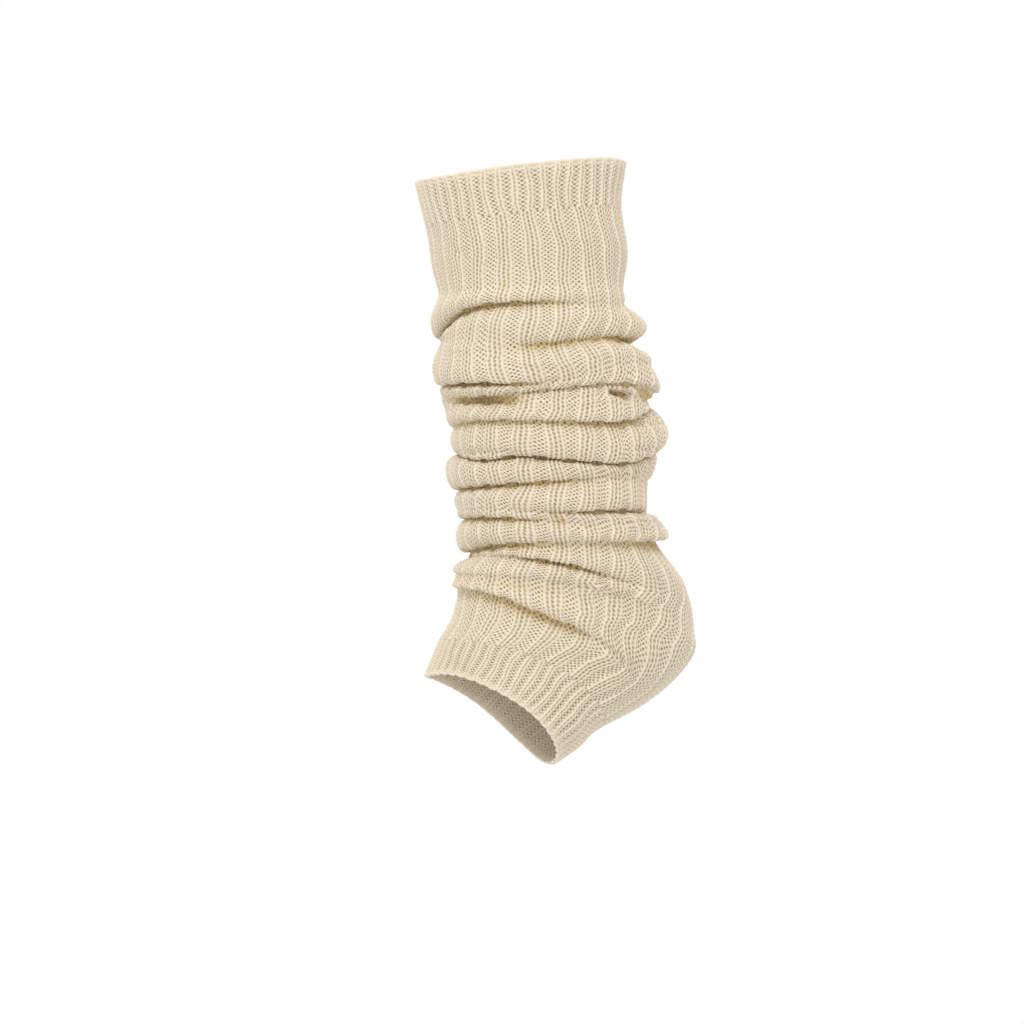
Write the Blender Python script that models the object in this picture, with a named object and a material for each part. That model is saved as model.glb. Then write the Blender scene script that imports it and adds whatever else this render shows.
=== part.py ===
"""A ribbed knit leg warmer, pushed down into folds and closed over the heel.

Metres, +Z up. The origin is the centre of the upper opening. The toes would point to -X and the heel to +X,
and the inner side of the leg faces -Y. Sizes in the tables are in millimetres.
"""

import math

import bmesh
import bpy
import numpy as np

MM = 0.001

# The cloth
RIBS = 22  # knit ribs round the leg, each with a furrow beside it
CUFF_RIBS = 2 * RIBS
WALL = 1.9  # cloth under the ribs
RIB_RISE = 1.2  # how far a rib stands proud of its furrow
# Where the outer points of one rib and furrow lie, from 0 to 1 round it, and how much of the rise each has
LEG_RIB_FORM = (0.125, 0.375, 0.75), (1, 1, 0)
CUFF_RIB_FORM = (0.25, 0.75), (1, 0)
SEAM_GAP = 0.3
RIB_TURN = 4.0  # degrees that the first rib is turned from the calf

# The leg form that the cloth follows. Each row is a cut through the tube: the level is its place down the
# tube, front and back are its ends on the shin and calf side, half_width is half its size from side to side,
# and rise is how far its sides climb above the line from front to back.
SECTION_COLUMNS = "level front_x front_z back_x back_z half_width rise"
SECTIONS = {
    "rim": (0.0, -55.0, -6.0, 54.5, 5.5, 53.5, 0.0),
    "cuff_seam": (23.5, -49.0, -29.0, 51.5, -18.0, 51.0, 0.0),
    "upper_calf": (42.0, -44.5, -43.0, 53.5, -41.0, 50.0, 0.0),
    "first_trough": (63.0, -40.5, -63.0, 52.0, -63.0, 47.5, 0.0),
    "calf": (89.5, -38.5, -89.5, 57.0, -89.5, 48.0, 0.0),
    "lower_calf": (120.0, -36.0, -120.0, 64.5, -120.0, 48.5, 0.0),
    "shank": (148.0, -30.0, -148.0, 68.0, -148.0, 48.0, 0.0),
    "above_ankle": (175.0, -29.0, -175.0, 65.5, -175.0, 46.5, 0.0),
    "ankle": (198.0, -24.0, -198.0, 73.5, -197.0, 45.0, 0.0),
    "heel_top": (215.0, -33.0, -212.5, 88.0, -218.0, 43.0, 2.0),
    "heel": (231.0, -33.5, -223.0, 94.0, -239.0, 41.5, 4.0),
    "heel_under": (243.0, -35.5, -233.0, 93.5, -255.5, 40.0, 6.5),
    "arch": (253.0, -39.0, -238.5, 71.5, -275.5, 39.0, 9.0),
    "foot_seam": (262.0, -43.0, -243.0, 43.5, -291.5, 38.5, 11.0),
    "foot_cuff": (276.0, -47.5, -253.5, 28.5, -301.0, 38.5, 11.0),
    "hem": (289.0, -51.0, -261.5, 14.5, -309.0, 39.0, 10.0),
}
SQUARENESS = 0.03  # how much fuller than an ellipse each cut is

# Places round the tube, in degrees from the calf side, that the columns of the next tables stand for
STATIONS = {
    "shin": 160,
    "inner_shin": 205,
    "inner": 250,
    "inner_calf": 295,
    "calf": 340,
    "outer": 430,
}

# The lines that part the folds: for each station the level, and how far the cloth stands off the leg form
LINE_LEVELS = {
    "cuff_seam": (23.5, 23.5, 23.5, 23.5, 23.5, 23.5),
    "first_trough": (63.5, 62.0, 60.0, 60.5, 62.0, 62.0),
    "upper_crease": (87.0, 73.0, 70.0, 72.0, 71.0, 75.0),
    "second_crease": (94.0, 94.0, 93.0, 88.5, 89.0, 92.0),
    "short_shin_crease": (111.5, 111.0, 111.5, 104.0, 104.5, 106.0),
    "pocket_top": (117.0, 118.0, 116.0, 112.5, 115.5, 115.0),
    "pocket_foot": (121.5, 122.0, 123.0, 119.0, 118.5, 121.0),
    "middle_crease": (133.0, 130.5, 132.0, 131.5, 121.5, 130.0),
    "deep_crease": (148.0, 153.0, 151.0, 153.0, 147.0, 149.0),
    "shank_crease": (168.5, 165.5, 162.5, 160.0, 161.0, 165.0),
    "calf_half_crease": (176.0, 175.0, 177.5, 176.5, 180.0, 177.0),
    "shin_half_crease": (181.0, 180.0, 182.5, 186.0, 184.5, 182.0),
    "ankle_trough": (198.5, 194.0, 193.0, 193.5, 194.5, 196.0),
    "instep_crease": (201.5, 200.0, 205.0, 212.0, 214.0, 205.0),
    "soft_step": (211.0, 212.0, 216.0, 223.0, 223.0, 217.0),
    "slouch_edge": (223.0, 225.5, 237.0, 243.0, 238.0, 234.0),
    "foot_seam": (262.0, 262.0, 262.0, 262.0, 262.0, 262.0),
}
LINE_LIFTS = {
    "cuff_seam": (0.0, 0.0, 0.0, 0.0, 0.0, 0.0),
    "first_trough": (0.0, 2.0, 2.5, 2.5, 0.5, 1.5),
    "upper_crease": (0.5, 0.5, 0.0, 0.5, 0.0, 0.5),
    "second_crease": (2.0, 2.5, 1.0, 0.5, 0.0, 0.5),
    "short_shin_crease": (3.5, 0.5, 3.0, 8.0, 9.0, 3.0),
    "pocket_top": (4.0, 2.0, 0.5, 2.0, 7.0, 4.0),
    "pocket_foot": (3.5, 2.0, 5.0, 6.5, 3.0, 4.0),
    "middle_crease": (0.0, 0.5, 0.5, 0.5, 0.0, 0.5),
    "deep_crease": (0.0, -0.5, -1.0, -0.5, 0.0, 0.0),
    "shank_crease": (0.0, 0.0, 0.0, 0.5, 0.0, 0.0),
    "calf_half_crease": (3.0, 4.5, 2.0, 0.0, 0.0, 1.0),
    "shin_half_crease": (0.5, 0.5, 1.0, 5.5, 7.0, 4.0),
    "ankle_trough": (0.5, 2.0, 2.5, 1.5, 0.0, 1.0),
    "instep_crease": (0.0, 0.0, 0.5, 2.5, 0.5, 0.5),
    "soft_step": (2.0, 2.5, 2.0, 1.5, 0.0, 2.0),
    "slouch_edge": (0.0, -1.5, -2.5, -1.0, 0.0, -1.5),
    "foot_seam": (0.0, 0.0, 0.0, 0.0, 0.0, 0.0),
}

# The folds between those lines, from the top: how far each crest stands off the leg form at the stations,
# where down the fold the crest lies, what share of the fold sags towards the line below, and how many rings
# it takes
FOLD_COLUMNS = "shin inner_shin inner inner_calf calf outer crest_at sag rings"
FOLDS = {
    "plain_calf": (2.5, 1.5, 1.0, 1.0, 1.0, 1.5, 0.65, 0.00, 5),
    "shin_roll": (7.0, 5.5, 4.5, 4.0, 1.0, 4.0, 0.52, 0.08, 4),
    "calf_roll": (3.0, 4.5, 6.0, 6.0, 10.0, 7.0, 0.47, 0.10, 4),
    "long_roll": (7.5, 6.5, 6.5, 8.5, 9.0, 6.0, 0.50, 0.10, 4),
    "thin_roll": (4.3, 3.0, 4.5, 8.0, 10.5, 6.0, 0.50, 0.05, 2),
    "pocket": (3.8, -1.5, 4.0, 5.0, 5.5, 4.0, 0.50, 0.00, 2),
    "below_pocket": (3.3, 5.0, 6.0, 7.5, 2.0, 5.5, 0.55, 0.10, 3),
    "wide_roll": (4.0, 6.0, 6.5, 7.5, 11.5, 7.0, 0.45, 0.10, 4),
    "sharp_roll": (8.5, 6.0, 5.0, 3.5, 3.5, 5.0, 0.37, 0.08, 4),
    "flat_roll": (3.0, 5.0, 5.5, 5.0, 0.5, 5.0, 0.52, 0.10, 4),
    "split_roll": (2.5, 4.0, 3.0, 5.0, 5.5, 4.0, 0.50, 0.00, 2),
    "ankle_roll": (7.0, 5.5, 5.0, 5.5, 8.0, 6.0, 0.47, 0.08, 4),
    "instep_roll": (1.0, 3.0, 4.5, 5.0, 1.5, 4.0, 0.55, 0.08, 3),
    "upper_slouch": (4.0, 4.5, 4.0, 3.0, 0.5, 3.5, 0.50, 0.08, 3),
    "lower_slouch": (1.5, 4.0, 4.5, 2.0, 0.5, 3.5, 0.55, 0.10, 3),
    "heel_cup": (0.5, 0.5, 1.0, 1.0, 0.5, 1.0, 0.50, 0.00, 7),
}
WANDER = 2.0  # how far the lines wander up and down on the outer side
CREST_SHARPNESS = 0.8  # under 1 a fold is round with a tight line on each side of it
RING_SPREAD = 0.3  # how far the rings of a fold draw towards its two lines
OFF_SHARE = 1.2  # how far the wall's thickness is measured straight off the leg and not across a fold's side
CUFF_RINGS = 5
SHARP_EDGE = math.radians(50)


def through(at, values, x):
    """A smooth curve through the values, by cubic Hermite pieces."""
    at = np.asarray(at, float)
    values = np.asarray(values, float)
    slope = np.gradient(values, at, axis=0)
    i = np.clip(np.searchsorted(at, x, side="right") - 1, 0, len(at) - 2)
    span = at[i + 1] - at[i]
    f = np.clip((x - at[i]) / span, 0, 1)
    begin = (1 + 2 * f) * (1 - f) ** 2 * values[i] + f * (1 - f) ** 2 * span * slope[i]
    end = f * f * (3 - 2 * f) * values[i + 1] + f * f * (f - 1) * span * slope[i + 1]
    return begin + end


def around(row, turn):
    """A value at any turn round the tube, in degrees, from its values at the stations."""
    at = list(STATIONS.values())
    at = [at[-2] - 360, at[-1] - 360, *at, at[0] + 360, at[1] + 360]
    values = [row[-2], row[-1], *row, row[0], row[1]]
    first = STATIONS["shin"] - 90
    return through(at, values, (np.asarray(turn, float) - first) % 360 + first)


def section(column, level):
    """One column of the section table at any level."""
    rows = np.array(list(SECTIONS.values()))
    index = SECTION_COLUMNS.split().index(column)
    return through(rows[:, 0], rows[:, index], level)


def leg_point(level, turn, lift):
    """A point at a level and a turn, standing off the leg form by lift. All three are arrays."""
    front = np.stack([section("front_x", level), section("front_z", level)], -1)
    back = np.stack([section("back_x", level), section("back_z", level)], -1)
    length = np.linalg.norm(back - front, axis=-1)
    along = (back - front) / length[..., None]
    upward = np.stack([-along[..., 1], along[..., 0]], -1)
    half_width = section("half_width", level)
    angle = np.radians(turn)
    full = 1 + SQUARENESS * (1 - np.cos(4 * angle)) / 2
    out_x = np.cos(angle) / length
    out_y = np.sin(angle) / (2 * half_width)
    out = np.hypot(out_x, out_y)
    across = full * length / 2 * np.cos(angle) + lift * out_x / out
    side = full * half_width * np.sin(angle) + lift * out_y / out
    climb = section("rise", level) * np.sin(angle) ** 2
    middle = (front + back) / 2 + across[..., None] * along + climb[..., None] * upward
    return np.stack([middle[..., 0], side, middle[..., 1]], -1)


def line_level(line, turn):
    """The level of a numbered line. On the outer side, away from its two ends, it wanders a little."""
    angle = np.radians(turn)
    hidden = np.maximum(np.cos(angle - math.radians(STATIONS["outer"])), 0)
    inside = 0 < line < len(LINE_LEVELS) - 1
    wander = inside * WANDER * hidden * np.sin(3 * angle + 0.8 * line)
    return around(list(LINE_LEVELS.values())[line], turn) + wander


def fold_point(fold, down, turn):
    """A point on a numbered fold, from 0 at its upper line to 1 at its lower one."""
    lifts = list(LINE_LIFTS.values())
    row = dict(zip(FOLD_COLUMNS.split(), list(FOLDS.values())[fold]))
    crest = around([row[name] for name in STATIONS], turn)
    upper, lower = line_level(fold, turn), line_level(fold + 1, turn)
    sagged = down + row["sag"] * 6.75 * down * down * (1 - down)
    lift = around(lifts[fold], turn) * (1 - down) + around(lifts[fold + 1], turn) * down
    skewed = down ** (math.log(0.5) / math.log(row["crest_at"]))
    bulge = np.maximum(np.sin(np.pi * skewed), 0) ** CREST_SHARPNESS
    return leg_point(upper + (lower - upper) * sagged, turn, lift * (1 - bulge) + crest * bulge)


def leg_rings(turns):
    """The rings of the leg from its upper seam to its lower one."""
    rings = []
    for fold, row in enumerate(FOLDS.values()):
        count = row[-1]
        for step in range(count):
            down = step / count
            if step and count > 2:
                down += RING_SPREAD * (0.5 - abs(down - 0.5)) * (1 if down > 0.5 else -1)
            rings.append(fold_point(fold, np.full_like(turns, down), turns))
    rings.append(fold_point(len(FOLDS) - 1, np.ones_like(turns), turns))
    return np.array(rings)


def cuff_rings(turns, first, last):
    """Even rings between two levels."""
    levels = np.linspace(first, last, CUFF_RINGS)
    return np.array([leg_point(np.full_like(turns, level), turns, 0 * turns) for level in levels])


def unit(vectors):
    return vectors / np.linalg.norm(vectors, axis=-1, keepdims=True)


def sideways(turns, level):
    """The direction straight off the leg form at a level."""
    at = np.full_like(turns, level)
    return leg_point(at, turns, at * 0 + 1) - leg_point(at, turns, at * 0)


def sunk(rings, turns, first, last, depth):
    """The rings moved into the cloth. At both ends they move within the cut, so that two pieces meet flat."""
    down = np.gradient(rings, axis=0)
    along = np.roll(rings, -1, axis=1) - np.roll(rings, 1, axis=1)
    levels = np.linspace(first, last, len(rings))
    off = np.array([sideways(turns, level) for level in levels])
    inward = -unit(unit(np.cross(down, along)) + OFF_SHARE * off)
    inward[0] = -off[0]
    inward[-1] = -off[-1]
    return rings + inward * np.broadcast_to(depth, turns.shape)[None, :, None]


def parted(rings, top, bottom):
    """The rings with their ends drawn back from the seams."""
    rings[0] += top * unit(rings[1] - rings[0])
    rings[-1] += bottom * unit(rings[-2] - rings[-1])
    return rings


def rib_turns(ribs, places):
    """The turns of the outer points: places are where they lie in one rib and furrow, from 0 to 1."""
    steps = (np.arange(ribs)[:, None] + np.array(places)[None, :]).ravel()
    return RIB_TURN + steps * 360 / ribs


def add_tube(name, outer, inner, material):
    """A wall between outer rings and plain inner rings with half as many points."""
    bm = bmesh.new()
    outside = [[bm.verts.new(point * MM) for point in ring] for ring in outer]
    inside = [[bm.verts.new(point * MM) for point in ring] for ring in inner]
    for wall in (outside, inside):
        for upper, lower in zip(wall, wall[1:]):
            for i in range(len(upper)):
                j = (i + 1) % len(upper)
                bm.faces.new([upper[i], lower[i], lower[j], upper[j]])
    for end in (0, -1):
        close_end(bm, outside[end], inside[end])
    bmesh.ops.recalc_face_normals(bm, faces=bm.faces)
    mesh = bpy.data.meshes.new(name)
    bm.to_mesh(mesh)
    bm.free()
    mesh.shade_smooth()
    mesh.set_sharp_from_angle(angle=SHARP_EDGE)
    mesh.materials.append(material)
    piece = bpy.data.objects.new(name, mesh)
    bpy.context.scene.collection.objects.link(piece)


def close_end(bm, outside, inside):
    """The edge of the cloth: three triangles for each two outer points and one inner point."""
    for i, point in enumerate(inside):
        following = inside[(i + 1) % len(inside)]
        a, b, c = outside[2 * i], outside[2 * i + 1], outside[(2 * i + 2) % len(outside)]
        for corners in ((a, b, point), (b, c, following), (b, following, point)):
            bm.faces.new(corners)


def yarn():
    material = bpy.data.materials.new("cream_yarn")
    material.use_nodes = True
    shader = material.node_tree.nodes["Principled BSDF"]
    shader.inputs["Base Color"].default_value = (0.66, 0.58, 0.44, 1)
    shader.inputs["Roughness"].default_value = 0.9
    shader.inputs["Metallic"].default_value = 0.0
    return material


def build_tube(name, rings_at, ends, gaps, ribs, places, rises, material):
    """One knitted piece: rings_at gives its rings at any turns, ends are its levels and gaps its seam gaps."""
    turns = rib_turns(ribs, places)
    outer = rings_at(turns)
    furrows = np.tile([RIB_RISE * (1 - rise) for rise in rises], ribs)
    outer = parted(sunk(outer, turns, *ends, furrows), *gaps)
    inner_turns = turns[0] + np.arange(len(turns) // 2) * 720 / len(turns)
    inner = rings_at(inner_turns)
    inner = parted(sunk(inner, inner_turns, *ends, WALL + RIB_RISE), *gaps)
    add_tube(name, outer, inner, material)


def main():
    for old in list(bpy.data.objects):
        bpy.data.objects.remove(old, do_unlink=True)
    material = yarn()
    rim, cuff_seam = SECTIONS["rim"][0], SECTIONS["cuff_seam"][0]
    foot_seam, hem = SECTIONS["foot_seam"][0], SECTIONS["hem"][0]
    half_gap = SEAM_GAP / 2

    def rings_of_cuff(ends):
        return lambda turns: cuff_rings(turns, *ends)

    for name, ends, gaps in (
        ("cuff_top", (rim, cuff_seam), (0, half_gap)),
        ("cuff_bottom", (foot_seam, hem), (half_gap, 0)),
    ):
        build_tube(name, rings_of_cuff(ends), ends, gaps, CUFF_RIBS, *CUFF_RIB_FORM, material)
    ends, gaps = (cuff_seam, foot_seam), (half_gap, half_gap)
    build_tube("leg", leg_rings, ends, gaps, RIBS, *LEG_RIB_FORM, material)


main()
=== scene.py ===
# %% [markdown]
# A ribbed knit leg warmer
#
# The real thing is one knitted tube of thick cream yarn: a 1x1 ribbed cuff above the calf, a long body in
# 2x2 rib that is pushed down into folds and closes over the heel, and a second cuff round the foot. This
# lesson starts from a plain solid of it, which keeps its size and place, and knits a detailed cloth
# around that solid.

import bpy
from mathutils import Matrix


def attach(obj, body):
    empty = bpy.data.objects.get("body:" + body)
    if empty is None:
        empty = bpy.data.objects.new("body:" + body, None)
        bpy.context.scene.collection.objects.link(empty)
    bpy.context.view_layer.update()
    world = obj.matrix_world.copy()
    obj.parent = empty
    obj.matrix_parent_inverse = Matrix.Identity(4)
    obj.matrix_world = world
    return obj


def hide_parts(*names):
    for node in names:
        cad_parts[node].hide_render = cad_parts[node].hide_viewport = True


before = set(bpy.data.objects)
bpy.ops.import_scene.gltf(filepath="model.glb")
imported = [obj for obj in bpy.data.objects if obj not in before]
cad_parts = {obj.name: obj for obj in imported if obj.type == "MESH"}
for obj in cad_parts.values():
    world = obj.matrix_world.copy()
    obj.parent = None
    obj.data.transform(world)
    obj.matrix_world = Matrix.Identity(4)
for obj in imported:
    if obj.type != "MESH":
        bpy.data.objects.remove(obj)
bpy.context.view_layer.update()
print("pieces of the plain solid:", sorted(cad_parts))

# %% [markdown]
# The other tools of the lesson are Blender's own modules and numpy, which moves thousands of points at
# once. Sizes in the tables are in millimetres, and MM turns them into Blender's metres.

# %% Tools and units
import math

import bmesh
import bpy
import numpy as np
from mathutils import Vector

MM = 0.001
RIBS = 22
WALES = 4 * RIBS
print(f"the cloth is {WALES} wales round, two knit and two purl in each of {RIBS} ribs")

# %% [markdown]
# The form that the cloth follows
#
# The tube could be drawn as one profile spun round, but it is wider one way than the other and turns
# forward at the heel. So it is a list of cuts. Each has a level, its ends on the shin and calf side, half
# its width and how far its sides climb. A smooth curve through the rows gives any level in between.

# %% Cuts through the tube
CUT_COLUMNS = "level front_x front_z back_x back_z half_width rise"
CUTS = {
    "above_rim": (-3.0, -55.8, -3.0, 54.9, 8.5, 53.8, 0.0),
    "rim": (0.0, -55.0, -6.0, 54.5, 5.5, 53.5, 0.0),
    "cuff_seam": (23.5, -49.0, -29.0, 51.5, -18.0, 51.0, 0.0),
    "upper_calf": (42.0, -44.5, -43.0, 54.2, -41.0, 50.0, 0.0),
    "first_trough": (63.0, -40.5, -63.0, 52.0, -63.0, 47.5, 0.0),
    "calf": (89.5, -38.5, -89.5, 57.0, -89.5, 48.0, 0.0),
    "lower_calf": (120.0, -36.0, -120.0, 64.5, -120.0, 48.5, 0.0),
    "shank": (148.0, -30.0, -148.0, 68.0, -148.0, 48.0, 0.0),
    "above_ankle": (175.0, -29.0, -175.0, 65.5, -175.0, 46.5, 0.0),
    "ankle": (198.0, -24.0, -198.0, 73.5, -197.0, 45.0, 0.0),
    "heel_top": (215.0, -33.0, -212.5, 89.0, -218.0, 43.0, 2.0),
    "heel": (231.0, -33.5, -223.0, 94.0, -239.0, 41.5, 4.0),
    "heel_under": (243.0, -36.3, -233.0, 92.6, -255.5, 40.0, 6.5),
    "arch": (253.0, -39.8, -238.5, 71.5, -275.5, 39.0, 9.0),
    "foot_seam": (262.0, -43.0, -243.0, 43.0, -290.2, 38.5, 11.0),
    "foot_cuff": (276.0, -47.5, -253.5, 29.5, -300.8, 38.5, 11.0),
    "hem": (289.0, -51.0, -261.5, 16.5, -309.0, 39.0, 10.0),
}
print(len(CUTS), "cuts through the tube")


# %% A smooth curve through the cuts
def through(at, values, x):
    """A smooth curve through the values, by cubic Hermite pieces."""
    at = np.asarray(at, float)
    values = np.asarray(values, float)
    slope = np.gradient(values, at, axis=0)
    i = np.clip(np.searchsorted(at, x, side="right") - 1, 0, len(at) - 2)
    span = at[i + 1] - at[i]
    f = np.clip((x - at[i]) / span, 0, 1)
    begin = (1 + 2 * f) * (1 - f) ** 2 * values[i] + f * (1 - f) ** 2 * span * slope[i]
    end = f * f * (3 - 2 * f) * values[i + 1] + f * f * (f - 1) * span * slope[i + 1]
    return begin + end


def cut(column, level):
    """One column of the table of cuts at any level."""
    rows = np.array(list(CUTS.values()))
    return through(rows[:, 0], rows[:, CUT_COLUMNS.split().index(column)], level)


print("half the width at the calf:", float(cut("half_width", CUTS["calf"][0])), "mm")

# %% A point on the plain tube
SQUARENESS = 0.03  # 0 would make every cut a plain oval


def tube_point(level, turn, lift):
    """A point at a level and a turn, standing off the plain tube by lift. All three are arrays."""
    front = np.stack([cut("front_x", level), cut("front_z", level)], -1)
    back = np.stack([cut("back_x", level), cut("back_z", level)], -1)
    length = np.linalg.norm(back - front, axis=-1)
    along = (back - front) / length[..., None]
    upward = np.stack([-along[..., 1], along[..., 0]], -1)
    half_width = cut("half_width", level)
    angle = np.radians(turn)
    full = 1 + SQUARENESS * (1 - np.cos(4 * angle)) / 2
    out_x = np.cos(angle) / length
    out_y = np.sin(angle) / (2 * half_width)
    out = np.hypot(out_x, out_y)
    across = full * length / 2 * np.cos(angle) + lift * out_x / out
    side = full * half_width * np.sin(angle) + lift * out_y / out
    climb = cut("rise", level) * np.sin(angle) ** 2
    middle = (front + back) / 2 + across[..., None] * along + climb[..., None] * upward
    return np.stack([middle[..., 0], side, middle[..., 1]], -1)


girth = tube_point(np.full(360, CUTS["calf"][0]), np.arange(360.0), np.zeros(360))
print("round the calf:", round(float(np.linalg.norm(np.roll(girth, 1, 0) - girth, axis=1).sum())), "mm")

# %% [markdown]
# The lines that part the folds
#
# A knitted tube pushed down makes rolls with a tight crease above and below each. Cloth simulation makes
# such rolls, but not these ones, so they are placed one by one. A line is a crease, or a half crease that
# dies away on one side. The table gives how far down it lies at six places round the leg, in millimetres.

# %% Levels of the lines
PLACES = {"shin": 160, "inner_shin": 205, "inner": 250, "inner_calf": 295, "calf": 340, "outer": 430}
LEVELS = {
    "cuff_seam": (23.5, 23.0, 22.5, 22.5, 23.5, 23.5),
    "first_trough": (63.5, 62.0, 60.0, 60.5, 62.0, 62.0),
    "upper_crease": (86.0, 73.0, 70.0, 71.5, 69.5, 75.0),
    "second_crease": (89.0, 94.0, 92.0, 88.0, 90.0, 91.0),
    "short_shin_crease": (111.5, 111.0, 111.5, 104.0, 104.5, 106.0),
    "pocket_top": (117.0, 118.0, 115.0, 111.0, 115.0, 115.0),
    "pocket_foot": (121.5, 122.0, 123.0, 119.0, 118.5, 121.0),
    "middle_crease": (133.0, 130.5, 131.0, 130.5, 121.2, 130.0),
    "deep_crease": (147.0, 151.0, 150.5, 152.0, 142.8, 149.0),
    "shank_crease": (165.3, 163.8, 161.5, 159.8, 160.5, 165.0),
    "calf_half_crease": (176.0, 175.0, 177.5, 176.5, 178.5, 177.0),
    "shin_half_crease": (181.0, 180.0, 182.5, 186.0, 182.5, 182.0),
    "ankle_trough": (198.5, 194.0, 193.0, 193.5, 193.2, 196.0),
    "instep_crease": (201.5, 200.0, 204.5, 217.0, 216.0, 205.0),
    "soft_step": (211.0, 212.0, 216.5, 226.5, 225.0, 217.0),
    "slouch_edge": (222.0, 223.5, 241.5, 252.5, 254.0, 238.0),
    "foot_seam": (262.0, 262.0, 262.0, 262.0, 262.0, 262.0),
}
print(len(LEVELS), "lines make", len(LEVELS) - 1, "folds")

# %% [markdown]
# How deep the lines lie
#
# LIFTS says how far the cloth stands off the plain tube along each line, at the same six places. Near 0
# the line is a full crease, below 0 a deep one, and a few millimetres make a crease that dies away
# between two rolls.

# %% Depth of the lines
LIFTS = {
    "cuff_seam": (0.0, 0.0, 0.0, 0.0, 0.0, 0.0),
    "first_trough": (1.5, 2.0, 2.5, 2.5, 0.5, 1.5),
    "upper_crease": (0.0, -2.5, -0.5, 3.5, 0.0, 0.0),
    "second_crease": (2.0, 5.5, 0.5, 0.5, -5.5, -3.0),
    "short_shin_crease": (2.5, -2.5, 3.0, 8.0, 9.0, 3.0),
    "pocket_top": (3.5, -1.0, 1.0, 3.5, 6.5, 3.0),
    "pocket_foot": (3.5, 0.5, 5.0, 6.5, 3.0, 4.0),
    "middle_crease": (0.0, 0.5, 1.5, 1.5, 0.0, 0.0),
    "deep_crease": (-0.5, -1.5, -2.2, 0.0, -0.5, -1.0),
    "shank_crease": (0.0, -2.5, -0.5, 1.5, 0.0, -0.5),
    "calf_half_crease": (3.0, 4.5, 1.5, -1.5, 0.0, 1.0),
    "shin_half_crease": (0.0, -2.0, 2.0, 5.5, 7.0, 4.0),
    "ankle_trough": (0.5, -1.5, 1.0, 0.5, 0.0, 0.5),
    "instep_crease": (0.0, 1.0, -2.0, 3.4, 0.5, 0.0),
    "soft_step": (2.0, 2.0, 1.2, 2.6, 0.3, 2.0),
    "slouch_edge": (-0.5, -1.5, -1.5, 0.3, 0.0, -1.0),
    "foot_seam": (0.0, 0.0, 0.0, 0.0, 0.0, 0.0),
}
print("deepest line:", min(min(row) for row in LIFTS.values()), "mm off the plain tube")

# %% [markdown]
# A line all round the tube
#
# The tube closes on itself, so the curve through the six places has to close too: the last two places are
# also put before the first, and the first two after the last. BENDS shifts one crease in one spot. On the
# outer side a line also wanders up and down a little, as real folds do.

# %% Follow a line round the tube
FIRST_TURN = PLACES["shin"] - 90
WANDER = 2.0
WANDER_WAVES = 3  # round the whole leg
WANDER_SHIFT = 0.8  # each line starts its waves a little further on
BENDS = {
    "deep_crease": (228, 17, -2.3),  # where and how wide, in degrees, and how far down, in mm
}
NO_BEND = (0, 1, 0)


def around(row, turn):
    """A value at any turn round the tube, in degrees, from its values at the six places."""
    at = list(PLACES.values())
    at = [at[-2] - 360, at[-1] - 360, *at, at[0] + 360, at[1] + 360]
    values = [row[-2], row[-1], *row, row[0], row[1]]
    return through(at, values, (np.asarray(turn, float) - FIRST_TURN) % 360 + FIRST_TURN)


def line_level(line, turn):
    """The level of a numbered line. On the outer side, away from its two ends, it wanders a little."""
    angle = np.radians(turn)
    hidden = np.maximum(np.cos(angle - math.radians(PLACES["outer"])), 0)
    inside = 0 < line < len(LEVELS) - 1
    wander = inside * WANDER * hidden * np.sin(WANDER_WAVES * angle + WANDER_SHIFT * line)
    at, width, shift = BENDS.get(list(LEVELS)[line], NO_BEND)
    bend = shift * np.exp(-(((turn - at) / width) ** 2))
    return around(list(LEVELS.values())[line], turn) + wander + bend


crossing = line_level(list(LEVELS).index("deep_crease"), np.arange(360))
print("the deep crease lies", round(crossing.min(), 1), "to", round(crossing.max(), 1), "mm down")

# %% [markdown]
# The rolls between the lines
#
# Between two lines the cloth bulges. The table says how far each roll stands off the plain tube at the
# six places. Then comes where down the roll it is fullest, from 0 to 1. start is a power: above 1 the
# roll begins softly, and below 1 it swells at once. sag is how far it hangs down, as a share of its
# height, and lap how many millimetres its foot hangs over the line below.

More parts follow.
